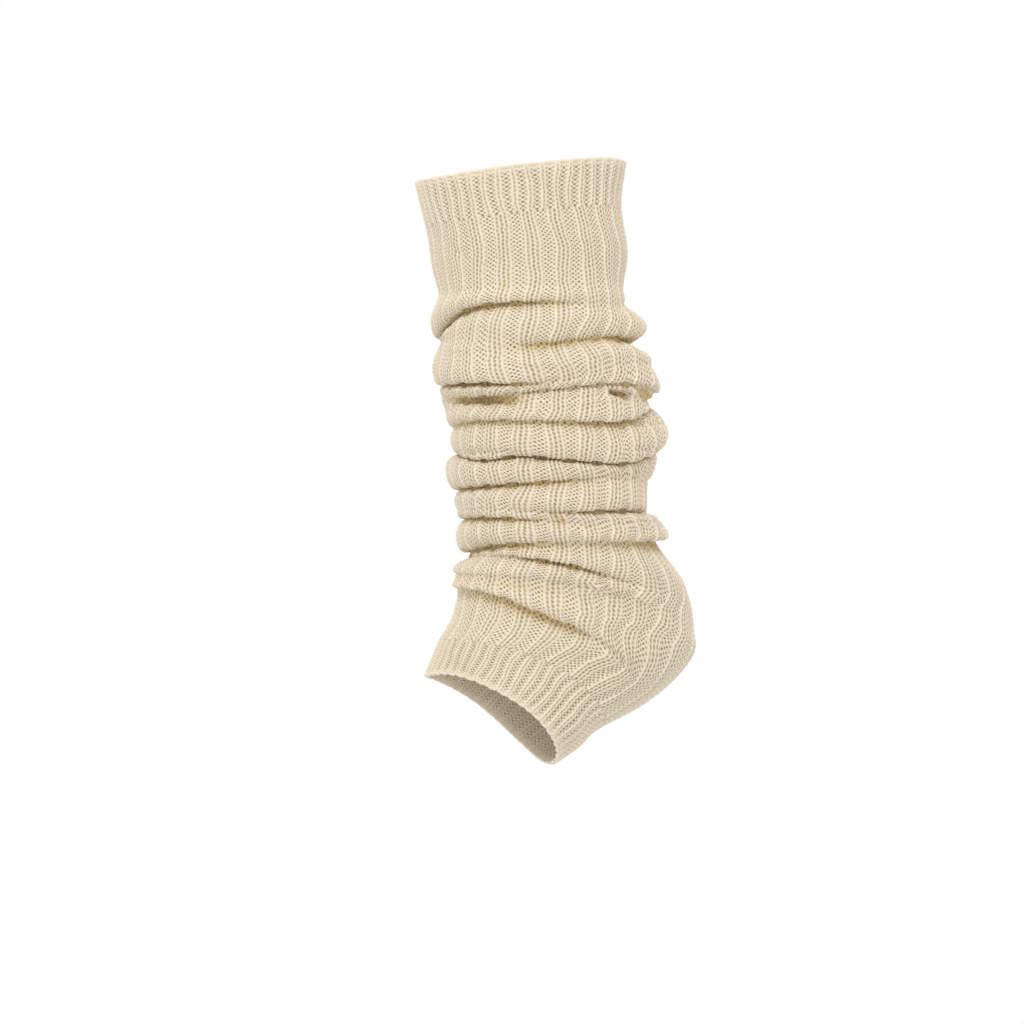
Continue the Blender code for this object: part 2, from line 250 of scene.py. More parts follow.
# %% Rolls
FOLD_COLUMNS = "shin inner_shin inner inner_calf calf outer crest_at start sag lap"
FOLDS = {
    "plain_calf": (2.5, 1.5, 1.0, 1.0, 1.0, 1.5, 0.65, 1.4, 0.00, 0.0),
    "shin_roll": (7.0, 5.5, 4.5, 4.0, 1.0, 4.0, 0.55, 1.3, 0.12, 0.8),
    "calf_roll": (3.0, 4.5, 6.0, 5.5, 10.5, 6.0, 0.45, 1.3, 0.08, 0.0),
    "long_roll": (7.5, 6.5, 6.5, 8.5, 9.0, 6.0, 0.54, 1.0, 0.14, 0.8),
    "thin_roll": (4.3, 4.0, 4.5, 8.0, 10.5, 6.0, 0.50, 1.0, 0.12, 1.2),
    "pocket": (3.5, -5.0, 3.5, 5.5, 5.5, 4.0, 0.50, 1.4, 0.00, 0.0),
    "below_pocket": (3.3, 5.5, 6.0, 7.5, 2.0, 5.5, 0.58, 0.9, 0.14, 0.6),
    "wide_roll": (4.0, 6.0, 6.5, 7.5, 10.3, 7.0, 0.50, 0.85, 0.14, 0.8),
    "sharp_roll": (8.3, 6.0, 5.0, 3.5, 3.5, 5.0, 0.34, 0.9, 0.14, 0.6),
    "flat_roll": (4.0, 5.0, 5.5, 5.0, 0.5, 5.0, 0.56, 0.8, 0.14, 0.4),
    "split_roll": (3.5, 4.0, 3.0, 5.0, 5.5, 4.0, 0.50, 0.9, 0.08, 0.4),
    "ankle_roll": (8.0, 5.5, 5.0, 5.5, 8.8, 6.0, 0.50, 0.8, 0.12, 0.4),
    "instep_roll": (1.0, 3.0, 4.0, 5.0, 1.5, 4.0, 0.62, 1.0, 0.14, 0.7),
    "upper_slouch": (5.5, 4.5, 4.0, 3.2, 0.5, 3.5, 0.50, 0.9, 0.12, 0.4),
    "lower_slouch": (2.0, 4.0, 4.5, 2.5, 0.5, 3.5, 0.68, 1.2, 0.12, 0.8),
    "heel_cup": (0.5, 0.5, 1.0, 1.0, 0.5, 1.0, 0.50, 1.4, 0.00, 0.0),
}
print("deepest roll:", max(max(row[:6]) for row in FOLDS.values()), "mm off the plain tube")

# %% [markdown]
# Dents and lumps
#
# A few small forms don't run round the leg as the rolls do: the pocket between two folds, the hole beside
# it, the crooked ridge at the heel. Each is a soft trough along a short straight line, and a depth below
# 0 makes it a ridge. Turns are in degrees and the rest in millimetres.

# %% Dents and lumps
DEGREE = 0.95  # length of one degree round the calf
DENT_COLUMNS = "turn level turn_end level_end width depth"
DENTS = {
    "smooth_facet": (229, 100.5, 262, 102.0, 2.4, -1.3),
    "calf_hole": (288, 115.8, 301, 118.6, 1.3, 7.5),
    "calf_shadow": (309, 115.5, 336, 118.0, 2.8, 3.5),
    "calf_lump": (296, 113.8, 306, 116.8, 1.5, -2.2),
    "pocket_floor": (201, 119.5, 231, 121.0, 2.8, 2.0),
    "second_lip": (187, 147.0, 228, 147.0, 1.4, 1.8),
    "deep_band": (214, 152.0, 246, 151.0, 1.7, 2.6),
    "bulge_line": (300, 132.0, 338, 131.5, 1.4, 1.6),
    "bulge_foot": (294, 145.0, 316, 145.5, 1.4, 1.6),
    "lens_edge": (247, 178.0, 257, 185.0, 2.0, 1.8),
    "lens_foot": (257, 185.0, 274, 186.0, 2.0, 1.5),
    "shin_hollow": (188, 194.5, 211, 198.5, 3.0, 1.8),
    "heel_ridge": (264, 249.0, 306, 256.0, 3.0, -1.4),
    "heel_trough": (266, 254.5, 308, 260.0, 3.5, 1.2),
    "heel_crook": (276, 215.0, 291, 224.0, 3.0, -1.2),
    "calf_side": (200, 41.0, 209, 50.0, 3.0, 1.2),
    "slouch_end": (265, 247.0, 292, 251.5, 3.0, -2.0),
    "calf_notch": (325, 90.0, 354, 90.0, 4.2, 4.5),
}
DENT_END = 0.4  # depth at the ends, as a share of the depth in the middle


def dented(turn, level):
    """How far the dents push the cloth in. Each is shallower towards its two ends."""
    total = np.zeros(np.shape(turn))
    for row in DENTS.values():
        dent = dict(zip(DENT_COLUMNS.split(), row))
        run = np.array([(dent["turn_end"] - dent["turn"]) * DEGREE, dent["level_end"] - dent["level"]])
        from_x = ((turn - dent["turn"] + 180) % 360 - 180) * DEGREE
        from_y = level - dent["level"]
        along = np.clip((from_x * run[0] + from_y * run[1]) / (run @ run), 0, 1)
        away = np.hypot(from_x - along * run[0], from_y - along * run[1])
        share = DENT_END + (1 - DENT_END) * np.sin(np.pi * along)
        total += dent["depth"] * np.exp(-((away / dent["width"]) ** 2)) * share
    return total


print("the calf hole is", round(float(dented(294.5, 117.2)), 1), "mm deep")

# %% [markdown]
# A point on a roll
#
# A sine gives the roll its round back. Raising it to a power makes it swell softly or at once, and a full
# roll ends with a power of a half, which drops it steeply into the crease below. Two more curves move the
# cloth down without moving the lines themselves.

# %% A point on a roll
SHARP_END = 0.5
SAG_PEAK = 6.75  # brings the highest value of down * down * (1 - down) to 1
LAP_PEAK = 17.6  # does the same for down ** 6 * (1 - down)
FULL_ROLL = 6.0  # a roll that stands this far off the line below it is a full one


def fold_point(fold, down, turn):
    """A point on a numbered fold, from 0 at its upper line to 1 at its lower one."""
    lifts = list(LIFTS.values())
    row = dict(zip(FOLD_COLUMNS.split(), list(FOLDS.values())[fold]))
    crest = around([row[name] for name in PLACES], turn)
    upper, lower = line_level(fold, turn), line_level(fold + 1, turn)
    lower_lift = around(lifts[fold + 1], turn)
    lift = around(lifts[fold], turn) * (1 - down) + lower_lift * down
    fullness = np.clip((crest - lower_lift) / FULL_ROLL, 0, 1)
    sagged = down + fullness * row["sag"] * SAG_PEAK * down * down * (1 - down)
    overhang = fullness * row["lap"] * LAP_PEAK * down**6 * (1 - down)
    level = upper + (lower - upper) * sagged + overhang
    skewed = down ** (math.log(0.5) / math.log(row["crest_at"]))
    sharpness = row["start"] + (SHARP_END - row["start"]) * fullness * (skewed > 0.5)
    bulge = np.maximum(np.sin(np.pi * skewed), 0) ** sharpness
    stand = lift * (1 - bulge) + crest * bulge - dented(turn, level)
    return np.concatenate([tube_point(level, turn, stand), stand[..., None], level[..., None]], -1)


middle = fold_point(list(FOLDS).index("calf_roll"), np.array([0.5]), np.array([PLACES["calf"]]))
print("middle of the calf roll, in mm:", np.round(middle[0, :3], 1))

# %% [markdown]
# Rows and wales
#
# Knitting is a lattice: wales run down the tube and rows run round it. Every wale has the same number of
# rows, so the rows are shared out by the length of the cloth down each wale, folds included. A mesh
# column then lies on every cord of yarn, and four mesh rings on every row of stitches.

# %% Count the stitches
COLUMNS_PER_WALE = 8
RINGS_PER_ROW = 4
COLUMNS = COLUMNS_PER_WALE * WALES
ROWS = {"cuff_top": 11, "leg": 130, "cuff_bottom": 13}
ALL_ROWS = sum(ROWS.values())
FIRST_ROW = {"cuff_top": 0, "leg": ROWS["cuff_top"], "cuff_bottom": ROWS["cuff_top"] + ROWS["leg"]}
FIRST_WALE = 2.6  # turn of the first wale, in degrees
turns = FIRST_WALE + np.arange(COLUMNS) * 360 / COLUMNS
print(ALL_ROWS, "rows of", WALES, "wales:", ALL_ROWS * WALES, "stitches")

# %% Points down the tube
SAMPLES = 40  # to each roll or plain band
EDGES = {
    "rim": (0.8, 0.4, -1.1, -1.1, 1.5, 0.8),
    "hem": (289.0, 285.0, 288.5, 289.0, 289.0, 289.0),
}


def level_points(first, last):
    """A band of the plain tube between two lines, each given by its levels at the six places."""
    levels = np.linspace(around(first, turns), around(last, turns), SAMPLES)
    points = np.array([tube_point(level, turns, np.zeros(COLUMNS)) for level in levels])
    return np.concatenate([points, np.zeros((SAMPLES, COLUMNS, 1)), levels[..., None]], -1)


def fold_points():
    """All the folds of the leg, one after the other."""
    points = []
    for fold in range(len(FOLDS)):
        for step in range(SAMPLES):
            points.append(fold_point(fold, np.full(COLUMNS, step / SAMPLES), turns))
    points.append(fold_point(len(FOLDS) - 1, np.ones(COLUMNS), turns))
    return np.array(points), np.linspace(0, len(FOLDS), len(points))


bands = {
    "cuff_top": (level_points(EDGES["rim"], LEVELS["cuff_seam"]), np.zeros(SAMPLES)),
    "leg": fold_points(),
    "cuff_bottom": (level_points(LEVELS["foot_seam"], EDGES["hem"]), np.full(SAMPLES, len(FOLDS))),
}
for name, (points, marks) in bands.items():
    print(f"{name}: {len(points)} points down each of {COLUMNS} columns")

# %% Share out the rows
PLAIN_ROWS = 1.12  # rows lie closer on the plain part above the folds
PLAIN_MARK = 1  # marks count the lines, so they are under 1 above the first trough


def evenly(points, marks, rings):
    """The points of each column moved to even steps down the cloth, and the marks with them."""
    steps = np.linalg.norm(np.diff(points[..., :3], axis=0), axis=-1)
    lengths = steps.sum(axis=0)
    steps *= np.where(marks[1:, None] < PLAIN_MARK, PLAIN_ROWS, 1)
    down = np.vstack([np.zeros(points.shape[1]), np.cumsum(steps, axis=0)])
    spaced = np.empty((rings, points.shape[1], points.shape[2] + 1))
    for column in range(points.shape[1]):
        at = np.linspace(0, down[-1, column], rings)
        for value in range(points.shape[2]):
            spaced[:, column, value] = np.interp(at, down[:, column], points[:, column, value])
        spaced[:, column, -1] = np.interp(at, down[:, column], marks)
    return spaced, lengths


cloth = []
for name, (points, marks) in bands.items():
    spaced, lengths = evenly(points, marks, ROWS[name] * RINGS_PER_ROW + 1)
    cloth.append(spaced if name == "cuff_top" else spaced[1:])
    row_height = lengths.mean() / ROWS[name]
    print(f"{name}: {lengths.min():.0f} to {lengths.max():.0f} mm down, {row_height:.2f} mm a row")
cloth = np.concatenate(cloth)

# %% [markdown]
# How the wales lean
#
# Inside the folds the ribs don't hang plumb: they are pushed sideways. SWAYS gives their lean at every
# line, in degrees round the leg at the six places.

# %% Lean of the ribs at the lines
SWAYS = {
    "cuff_seam": (0, 0, 0, -1, -3, 0),
    "first_trough": (-3, -4, -1, 3, 0, 0),
    "upper_crease": (-7, -8, -3, 3, 0, -2),
    "second_crease": (-12, -13, -9, -6, -5, -6),
    "short_shin_crease": (-13, -14, -5, -6, -5, -8),
    "pocket_top": (-15, -17, -11, -11, -10, -10),
    "pocket_foot": (-15, -17, -13, -12, -12, -12),
    "middle_crease": (-18, -21, -17, -16, -15, -15),
    "deep_crease": (-20, -23, -19, -18, -18, -18),
    "shank_crease": (-18, -22, -16, -13, -13, -16),
    "calf_half_crease": (-22, -25, -19, -14, -14, -18),
    "shin_half_crease": (-24, -27, -18, -13, -12, -18),
    "ankle_trough": (-25, -28, -19, -18, -18, -20),
    "instep_crease": (-24, -26, -21, -23, -22, -22),
    "soft_step": (-22, -24, -23, -31, -30, -22),
    "slouch_edge": (-20, -21, -19, -19, -22, -20),
    "foot_seam": (-18, -18, -17, -18, -19, -18),
}
print("largest lean at a line:", max(max(map(abs, row)) for row in SWAYS.values()), "degrees")

# %% [markdown]
# Lean in between, and crooks
#
# Between two lines the lean changes smoothly, apart from the heel, where the ribs keep theirs almost down
# to the slouched edge. A few crooks bend the ribs in one spot. A leaning rib passes other spots than a
# plumb one, so its lean is looked up where the last pass put it.

# %% Lean of the ribs everywhere
SUDDEN_LEAN = 5  # a high power keeps the lean of the line above until near the next one
CROOKS = {
    # the turn and level of its middle, how far it reaches each way, and the degrees it adds
    "heel": (300, 242.0, 38, 5.5, -7.0),
    "heel_hook": (284, 252.5, 16, 2.5, 3.0),
    "below_instep": (268, 220.0, 7, 3.0, 5.0),
}
LEAN_PASSES = 8


def lookup(table, rings, columns):
    """The table between its rings and columns. It closes round the tube."""
    rings = np.clip(rings, 0, len(table) - 1.001)
    ring, column = np.floor(rings).astype(int), np.floor(columns).astype(int)
    down, along = (rings - ring)[..., None], (columns - column)[..., None]
    left, right = column % table.shape[1], (column + 1) % table.shape[1]
    upper = table[ring, left] * (1 - along) + table[ring, right] * along
    lower = table[ring + 1, left] * (1 - along) + table[ring + 1, right] * along
    return upper * (1 - down) + lower * down


ring_at, column_at = np.meshgrid(np.arange(len(cloth)), np.arange(COLUMNS), indexing="ij")
line_sways = np.array([around(row, turns) for row in SWAYS.values()])
levels, marks = cloth[..., 4], cloth[..., 5]
line = np.minimum(np.floor(marks).astype(int), len(FOLDS) - 1)
share = marks - line
sudden = share**SUDDEN_LEAN
share = share * share * (3 - 2 * share)
share = np.where(line == list(FOLDS).index("lower_slouch"), sudden, share)
place_lean = line_sways[line, column_at] * (1 - share) + line_sways[line + 1, column_at] * share
for at_turn, at_level, turn_width, level_width, degrees in CROOKS.values():
    from_turn = (turns[column_at] - at_turn + 180) % 360 - 180
    away = (from_turn / turn_width) ** 2 + ((levels - at_level) / level_width) ** 2
    place_lean += degrees * np.exp(-away)
lean = np.zeros_like(place_lean)
for _ in range(LEAN_PASSES):
    lean = lookup(place_lean[..., None], ring_at, column_at + lean * COLUMNS / 360)[..., 0]
print("largest lean:", round(float(np.abs(lean).max()), 1), "degrees")

# %% [markdown]
# Uneven hands
#
# No two stitches of a real knit are quite alike. A seeded noise moves each one a hair, the same on every
# run.

# %% Drift of the stitches
STITCH_DRIFT = 0.06  # in wales and rows
rng = np.random.default_rng(7)
drift = rng.normal(0, STITCH_DRIFT, (ALL_ROWS + 2, WALES, 2))
drift = lookup(drift, ring_at / RINGS_PER_ROW, column_at / COLUMNS_PER_WALE)
print("largest drift:", round(float(np.abs(drift).max()), 2), "of a stitch")

# %% [markdown]
# Knit and purl wales
#
# In the leg two knit wales stand out, then two purl wales lie back. In the cuffs every other wale is a
# knit one. Wales are counted round the tube, so a remainder tells which kind a place lies in.

# %% Knit or purl
LEG_RIB = 4  # wales until the rib repeats
CUFF_RIB = 2
KNIT_PARTS = {LEG_RIB: (1.0, 1.0), CUFF_RIB: (1.5, 0.5)}  # middle and half width of the knit part
EDGE_SOFTNESS = 0.22


def is_knit(wale, repeat):
    """1 on knit wales, 0 on purl ones, with soft edges."""
    middle, half = KNIT_PARTS[repeat]
    distance = np.abs((wale % repeat) - middle)
    distance = np.minimum(distance, repeat - distance)
    edge = np.clip((half - distance) / EDGE_SOFTNESS / 2 + 0.5, 0, 1)
    return edge * edge * (3 - 2 * edge)


print("knit from wale to wale of the leg:", is_knit(np.arange(LEG_RIB) + 0.5, LEG_RIB))

# %% [markdown]
# Stitches
#
# A knit stitch shows as a V: two cords side by side, with a shallow joint where the next stitch comes
# through. A purl stitch shows as a wave of yarn, so purl rows look like ripples with holes above and
# below. The depth is how far the yarn lies under the top of the knit cords, in millimetres.

# %% Relief of the stitches
RIB_RISE = 0.9
CORD_DEPTH = 0.7
CORD_POWER = 0.8  # below 1 the cords are fuller and the groove between them narrower
JOINT_DEPTH = 0.25
JOINT_POWER = 4  # a higher one makes the joints shorter
GAP_DEPTH = 0.1
GAP_REACH = 0.35  # how far the gap between two knit wales reaches to each side
RIPPLE_DEPTH = 0.9
SHALLOWS = 0.6  # depth between two purl holes, as a share of theirs
SWINGS = {LEG_RIB: 0.25, CUFF_RIB: -0.38}
FLAT_EDGE = (0.5, 2.5)  # the first rows at an open edge run straight, so many rows from it


def ripple_swing(row, repeat):
    """How far a purl ripple swings, in rows. It is none at the open edges, and turned over in the cuffs."""
    from_edge = np.minimum(row, ALL_ROWS - row)
    return SWINGS[repeat] * np.clip((from_edge - FLAT_EDGE[0]) / (FLAT_EDGE[1] - FLAT_EDGE[0]), 0, 1)


def stitch_depth(wale, row, repeat):
    """How deep the yarn lies at a wale and row, counted with their fractions."""
    u = wale % 1
    knit = is_knit(wale, repeat)
    cords = 1 - np.abs(np.sin(2 * np.pi * u)) ** CORD_POWER
    joints = np.cos(np.pi * (row + np.abs(u - 0.5))) ** JOINT_POWER
    from_middle = np.abs((wale % LEG_RIB) - 1)
    gap = np.clip(1 - from_middle / GAP_REACH, 0, 1) if repeat == LEG_RIB else 0
    knit_depth = CORD_DEPTH * cords + JOINT_DEPTH * joints + GAP_DEPTH * gap
    wave = row - ripple_swing(row, repeat) * np.cos(2 * np.pi * u)
    ripple = np.sin(np.pi * wave) ** 2
    hole = SHALLOWS + (1 - SHALLOWS) * np.abs(np.cos(2 * np.pi * u))
    purl_depth = RIB_RISE + RIPPLE_DEPTH * ripple * hole
    return knit * knit_depth + (1 - knit) * purl_depth


sample = stitch_depth(np.linspace(0, LEG_RIB, 25)[:-1], np.zeros(24), LEG_RIB)
print("depths across one rib, in mm:", np.round(sample, 2))

# %% [markdown]
# Put the wales and rows in place
#
# So far every mesh column hangs plumb. Here each point of the lattice is moved by its lean, its drift and
# a slow waver, and takes the place of the cloth there. The edges of a rib spread a little, and the two
# cords of a knit wale part and meet once a row, which draws the Vs.

# %% Put the wales and rows in place
LEG_SPREAD = 0.05  # how far the two cords of a knit wale part, in wales
RIB_SPREAD = 0.16  # how far the cords of a rib part from each other, in wales
WAVER = 0.20  # how far the wales waver over many rows, in wales
WAVES = ((19, 7), (11, -9))  # rows from wave to wave, and how many of them lie round the leg
wale_at = column_at / COLUMNS_PER_WALE
row_at = ring_at / RINGS_PER_ROW
in_leg = (row_at >= FIRST_ROW["leg"]) & (row_at < FIRST_ROW["cuff_bottom"])
knit_at = np.where(in_leg, is_knit(wale_at, LEG_RIB), is_knit(wale_at, CUFF_RIB))
side_of_wale = np.sign(wale_at % 1 - 0.5)
parting = knit_at * LEG_SPREAD * side_of_wale * np.cos(2 * np.pi * row_at)
spread = RIB_SPREAD * in_leg * np.sin(np.pi / 2 * (wale_at - 1))
turn_share = wale_at / WALES
waver = sum(np.sin(2 * np.pi * (row_at / rows + count * turn_share)) for rows, count in WAVES)
moved = drift[..., 0] + parting + spread + WAVER / len(WAVES) * waver
columns_to = column_at + lean * COLUMNS / 360 + moved * COLUMNS_PER_WALE
rings_to = ring_at + drift[..., 1] * RINGS_PER_ROW
placed = lookup(cloth[..., :4], rings_to, columns_to)
cloth, stand = placed[..., :3], placed[..., 3]
print("farthest sideways move of a wale:", round(float(np.abs(moved).max()), 2), "wales")

# %% [markdown]
# The outside with its stitches
#
# The stitches are cut in from the cloth, straight against its surface. The direction comes from a
# softened copy, because the one of a crease changes within a stitch.

# %% The outside with its stitches
SOFTENING = 6  # passes


def unit(vectors):
    return vectors / np.maximum(np.linalg.norm(vectors, axis=-1, keepdims=True), 1e-9)


def softened(values, passes):
    """Each ring drawn towards its two neighbours."""
    for _ in range(passes):
        inner = values[:-2] + 2 * values[1:-1] + values[2:]
        values = np.concatenate([values[:1], inner / 4, values[-1:]])
    return values


smooth = softened(cloth, SOFTENING)
down = np.gradient(smooth, axis=0)
along = np.roll(smooth, -1, axis=1) - np.roll(smooth, 1, axis=1)
outward = unit(np.cross(down, along))
leg_depth, cuff_depth = (stitch_depth(wale_at, row_at, repeat) for repeat in (LEG_RIB, CUFF_RIB))
outside = cloth - np.where(in_leg, leg_depth, cuff_depth)[..., None] * outward
print("stitches outside:", WALES * ALL_ROWS)

# %% [markdown]
# The inside of the wall
#
# A shell needs a back. It has few rings, so between two of them it would cut through the bottom of a
# crease and show from outside. It is moved in behind the deepest cloth nearby.

# %% The inside of the wall
WALL = 1.9  # thickness
MIDDLE_PULL = 1.2  # weight of the way to the tube's middle, beside 1 for straight against the surface
INSIDE_STEP = 3 * RINGS_PER_ROW  # the back has a ring every third row
NEAR = 8  # rings up and down that count as nearby
from_middle = unit(cloth - cloth.mean(axis=1, keepdims=True))
off_tube = unit(outward + MIDDLE_PULL * from_middle)
deepest = stand.copy()
for step in range(1, NEAR + 1):
    deepest[step:] = np.minimum(deepest[step:], stand[:-step])
    deepest[:-step] = np.minimum(deepest[:-step], stand[step:])
inside = cloth - ((1 - knit_at) * RIB_RISE + WALL)[..., None] * off_tube
inside -= (stand - deepest)[..., None] * from_middle
print("the back moves in by up to", round(float((stand - deepest).max()), 1), "mm at a crease")

# %% [markdown]
# Depth of the creases
#
# Little light gets into a crease, and what does has gone through the yarn and come out olive. The material
# paints that shade into the colour, so it needs to know how far each point lies behind the rolls above and
# below it.

# %% Depth of the creases
REACH_UP = 18  # rings in which the roll above is looked for
REACH_DOWN = 10
REACH_STEP = 2
ROLL_ABOVE = 0.6  # weight of the roll above, and the rest is that of the roll below
OPEN_DEPTH = 0.6  # up to here the cloth counts as open
# from this depth on the painted crease shade is full
DARK_DEPTH = 4.4
CREASE_SOFTENING = 2  # passes
above, below = stand.copy(), stand.copy()
for step in range(REACH_STEP, REACH_UP + 1, REACH_STEP):
    above[step:] = np.maximum(above[step:], stand[:-step])
for step in range(REACH_STEP, REACH_DOWN + 1, REACH_STEP):
    below[:-step] = np.maximum(below[:-step], stand[step:])
crease = ROLL_ABOVE * above + (1 - ROLL_ABOVE) * below - stand
crease = (crease - OPEN_DEPTH) / (DARK_DEPTH - OPEN_DEPTH)
crease = np.clip(softened(crease, CREASE_SOFTENING), 0, 1)
print("deepest crease lies", round(float((above - stand).max()), 1), "mm behind the roll above it")

# %% [markdown]
# From a flat grid to a knitted tube
#
# A knitter can make a flat strip and join it, and the next cells do the same. A flat grid is the strip.
# It is wrapped down the outside of the tube, over the edge and up the inside. Its last ring meets its
# first and its last column meets its first, so merging them closes the shell.

# %% Round the open edges
EDGE_RINGS = 3


def rounded_edge(ring, towards):
    """Rings that carry the cloth round an open edge. towards is 1 at the hem and -1 at the rim."""
    half = (outside[ring] - inside[ring]) / 2
    middle = (outside[ring] + inside[ring]) / 2
    reach = np.linalg.norm(half, axis=-1, keepdims=True)
    past = unit(cloth[ring] - cloth[ring - towards * RINGS_PER_ROW]) * reach
    angles = np.linspace(0, np.pi, EDGE_RINGS + 2)[1:-1]
    return [middle + half * np.cos(a) + past * np.sin(a) for a in angles]


print("wall at the hem:", round(float(np.linalg.norm(outside[-1] - inside[-1], axis=-1).mean()), 1), "mm")

# %% Rings of a band
INSIDE_SHIFT = 2  # the back of the leg's knit wales is purl, which the knit map has two wales on


def band_rings(first, last):
    """The rings of a closed band, with the row of each and the shift of its knit map."""
    down_outside = range(first, last + 1)
    up_inside = [*range(last, first, -INSIDE_STEP), first]
    rings = [outside[i] for i in down_outside]
    places = [(i / RINGS_PER_ROW, 0) for i in down_outside]
    if last == len(outside) - 1:
        rings += rounded_edge(last, 1)
        places += [(last / RINGS_PER_ROW, 0)] * EDGE_RINGS
    rings += [inside[i] for i in up_inside]
    places += [(i / RINGS_PER_ROW, INSIDE_SHIFT) for i in up_inside]
    if first == 0:
        rings += rounded_edge(0, -1)[::-1]
        places += [(0, 0)] * EDGE_RINGS
    return np.array(rings + rings[:1]), np.array(places + places[:1], float)


print("rings in the upper cuff:", len(band_rings(0, ROWS["cuff_top"] * RINGS_PER_ROW)[0]))


# %% A flat grid
def flat_grid(name, ring_count):
    """A flat grid of that many rings as a mesh, with the ring and the column of each of its points."""
    bm = bmesh.new()
    bm.loops.layers.uv.new("OFBake")
    bmesh.ops.create_grid(bm, x_segments=COLUMNS, y_segments=ring_count - 1, size=1, calc_uvs=True)
    mesh = bpy.data.meshes.new(name)
    bm.to_mesh(mesh)
    bm.free()
    flat = np.empty(len(mesh.vertices) * 3, np.float32)
    mesh.vertices.foreach_get("co", flat)
    flat = flat.reshape(-1, 3)
    column = np.rint((flat[:, 0] + 1) / 2 * COLUMNS).astype(int)
    ring = np.rint((flat[:, 1] + 1) / 2 * (ring_count - 1)).astype(int)
    return mesh, ring, column


print("columns in every grid:", COLUMNS)

# %% [markdown]
# What the material has to know
#
# The mesh carries three marks for the shading. The map named knit counts wales and rows. The attribute
# crease tells how deep a point lies, which sets the shade painted into the creases, and is 0 on the inside.
# The corners of a cut end of the wall are sharp, so that smooth shading doesn't run round them where two
# pieces meet.


# %% Marks on the grid
def add_knit_map(mesh, ring, column, places):
    corner = np.empty(len(mesh.loops), np.int32)
    mesh.loops.foreach_get("vertex_index", corner)
    u = (column[corner] / COLUMNS_PER_WALE + places[ring[corner], 1]) / (WALES + INSIDE_SHIFT)
    v = places[ring[corner], 0] / ALL_ROWS
    knit_map = mesh.uv_layers.new(name="knit")
    knit_map.uv.foreach_set("vector", np.stack([u, v], -1).astype(np.float32).ravel())


def add_crease(mesh, ring, column, first, last):
    # how deep each point lies, which the material turns into painted crease shade; 0 on the inside
    shade = np.zeros((ring.max() + 1, COLUMNS))
    shade[: last - first + 1] = crease[first : last + 1]
    shade[-1] = shade[0]
    shade = shade[ring, column % COLUMNS].astype(np.float32)
    mesh.attributes.new("crease", "FLOAT", "POINT").data.foreach_set("value", shade)


def sharpen_cut_ends(mesh, ring, first, last):
    ends = [last - first, last - first + 1] if last < len(outside) - 1 else []
    ends += [0, ring.max() - 1, ring.max()] if first > 0 else []
    edge = np.empty(len(mesh.edges) * 2, np.int32)
    mesh.edges.foreach_get("vertices", edge)
    edge = ring[edge.reshape(-1, 2)]
    sharp = (edge[:, 0] == edge[:, 1]) & np.isin(edge[:, 0], ends)
    mesh.attributes.new("sharp_edge", "BOOLEAN", "EDGE").data.foreach_set("value", sharp)


print("the knit map is", WALES + INSIDE_SHIFT, "wales wide and", ALL_ROWS, "rows high")

# %% Close the shell
TOUCHING = 1e-7  # metres


def close_shell(mesh):
    """Merge the points that meet and turn the faces outwards. Gives the open edges and the volume."""
    bm = bmesh.new()
    bm.from_mesh(mesh)
    bmesh.ops.remove_doubles(bm, verts=bm.verts, dist=TOUCHING)
    if bm.calc_volume(signed=True) < 0:
        bmesh.ops.reverse_faces(bm, faces=bm.faces)
    for face in bm.faces:
        face.smooth = True
    bm.to_mesh(mesh)
    loose, volume = sum(not e.is_manifold for e in bm.edges), bm.calc_volume(signed=True)
    bm.free()
    return loose, volume


def wrap(name, first_row, last_row):
    """One closed band of cloth between two rows."""
    first, last = first_row * RINGS_PER_ROW, last_row * RINGS_PER_ROW
    rings, places = band_rings(first, last)
    mesh, ring, column = flat_grid(name, len(rings))
    mesh.vertices.foreach_set("co", (rings[ring, column % COLUMNS] * MM).astype(np.float32).ravel())
    add_knit_map(mesh, ring, column, places)
    add_crease(mesh, ring, column, first, last)
    sharpen_cut_ends(mesh, ring, first, last)
    loose, volume = close_shell(mesh)
    piece = bpy.data.objects.new(name, mesh)
    bpy.context.scene.collection.objects.link(piece)
    print(f"{name}: {2 * len(mesh.polygons)} triangles, {volume * 1e6:.0f} cm3, {loose} open edges")
    return piece


print("points closer than", TOUCHING, "m are merged")

# %% [markdown]
# Shader maths as Python
#
# A pattern in a material is arithmetic on sockets. This small class wraps a socket, so that an expression
# such as 1 - hole * 0.5 adds its Math nodes by itself.


# %% Sockets that can be added and multiplied
class Wire:
    def __init__(self, socket):
        self.socket = socket

    def node(self, kind, values=(), output=0, **settings):
        """A new node in this wire's material, with its settings and its sockets' values or links."""
        tree = self.socket.id_data
        added = tree.nodes.new(kind)
        for key, value in settings.items():
            setattr(added, key, value)
        pairs = values.items() if isinstance(values, dict) else enumerate(values)
        for key, value in pairs:
            if isinstance(value, Wire):
                tree.links.new(value.socket, added.inputs[key])
            else:
                added.inputs[key].default_value = value
        return Wire(added.outputs[output])

    def maths(self, operation, *others):
        return self.node("ShaderNodeMath", [self, *others], operation=operation)

    def __add__(self, other):
        return self.maths("ADD", other)

    def __radd__(self, other):
        return self.maths("ADD", other)

    def __mul__(self, other):
        return self.maths("MULTIPLY", other)

    def __rmul__(self, other):
        return self.maths("MULTIPLY", other)

    def __sub__(self, other):
        return self.maths("SUBTRACT", other)

    def __rsub__(self, other):
        return (self * -1) + other

    def __abs__(self):
        return self.maths("ABSOLUTE")

    def __mod__(self, other):
        return self.maths("FLOORED_MODULO", other)

    def wave(self):
        """The sine of this many whole turns."""
        return (self * (2 * math.pi)).maths("SINE")

    def between(self, low, high):
        """0 up to low, 1 from high, and a soft step between."""
        return self.node(
            "ShaderNodeMapRange",
            {"Value": self, "From Min": low, "From Max": high},
            interpolation_type="SMOOTHSTEP",
        )


print("a Wire adds nodes for + - * % and abs()")
